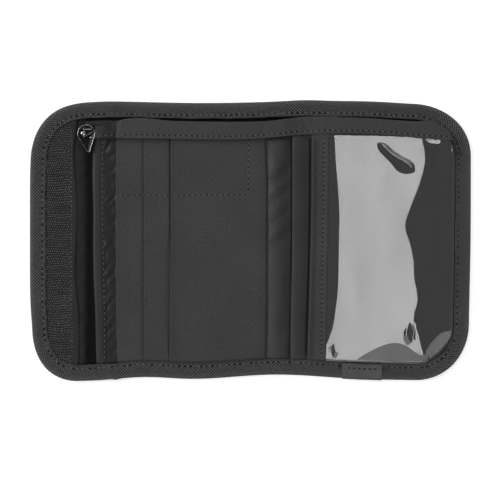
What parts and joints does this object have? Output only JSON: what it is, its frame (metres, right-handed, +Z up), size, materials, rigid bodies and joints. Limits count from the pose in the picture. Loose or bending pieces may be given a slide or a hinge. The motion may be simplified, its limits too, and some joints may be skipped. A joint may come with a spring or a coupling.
{
  "type": "trifold wallet",
  "caption": "Black fabric trifold travel wallet, open: zipped pouch, three card slots, passport pocket, clear window, bound edge, touch-fastener flap.",
  "frame": {"origin": "centre of the open wallet's outline, on the surface that it lies on", "axes": "+X along the long side towards the clear window, +Y towards the zip, +Z up out of the inside of the open wallet"},
  "size_m": [0.243, 0.1546, 0.0061],
  "materials": {
    "shell_cloth": "matte plain-weave nylon, coated on the back",
    "lining_cloth": "thin matte plain-weave nylon",
    "pocket_cloth": "thin plain-weave nylon with a faint sheen",
    "binding_tape": "diagonal twill tape, matte",
    "webbing": "woven webbing, matte",
    "zip_tape": "knitted zip tape, matte",
    "zip_coil": "nylon coil, semi-matte",
    "hook_tape": "nylon hooks on woven tape",
    "loop_tape": "napped nylon loops",
    "clear_film": "clear flexible PVC film, glossy",
    "slider_metal": "gunmetal plating, semi-gloss"
  },
  "bodies": {
    "centre_panel": {"shell_centre": "shell_cloth", "lining_centre": "lining_cloth", "note_divider_centre": "lining_cloth", "pouch_front_centre": "pocket_cloth", "card_slot_1": "pocket_cloth", "card_slot_2": "pocket_cloth", "card_slot_3": "pocket_cloth", "zip_coil_lower_centre": "zip_coil", "zip_coil_upper_centre": "zip_coil", "zip_tape_lower_centre": "zip_tape", "zip_tape_upper_centre": "zip_tape", "zip_cover_strip_centre": "pocket_cloth", "binding_top_centre": "binding_tape", "binding_bottom_centre": "binding_tape"},
    "left_flap": {"shell_left": "shell_cloth", "lining_left": "lining_cloth", "binding_left": "binding_tape", "hook_strip": "hook_tape"},
    "right_panel": {"shell_right": "shell_cloth", "lining_right": "lining_cloth", "note_divider_right": "lining_cloth", "pouch_front_right": "pocket_cloth", "passport_pocket": "pocket_cloth", "window_frame_strip": "pocket_cloth", "window_film": "clear_film", "zip_coil_lower_right": "zip_coil", "zip_coil_upper_right": "zip_coil", "zip_tape_lower_right": "zip_tape", "zip_tape_upper_right": "zip_tape", "zip_end_stop": "slider_metal", "zip_cover_strip_right": "pocket_cloth", "binding_right": "binding_tape", "loop_patch": "loop_tape", "attachment_tab": "webbing"},
    "zip_slider": {"zip_slider_body": "slider_metal", "zip_slider_crown": "slider_metal"},
    "puller": {"zip_puller": "slider_metal"}
  },
  "joints": [
    {"name": "left_flap_fold", "type": "hinge", "parent": "centre_panel", "child": "left_flap", "pos_m": [-0.091, 0, 0.00735], "axis": [0, 1, 0], "range_deg": [0, 180]},
    {"name": "right_panel_fold", "type": "hinge", "parent": "centre_panel", "child": "right_panel", "pos_m": [0.015, 0, 0.0056], "axis": [0, -1, 0], "range_deg": [0, 180]},
    {"name": "zip_slide", "type": "slide", "parent": "centre_panel", "child": "zip_slider", "axis": [1, 0, 0], "range_m": [0, 0.1]},
    {"name": "puller_swing", "type": "hinge", "parent": "zip_slider", "child": "puller", "pos_m": [-0.0894, 0.0616, 0.00505], "axis": [-1, 0, 0], "range_deg": [0, 180]}
  ]
}
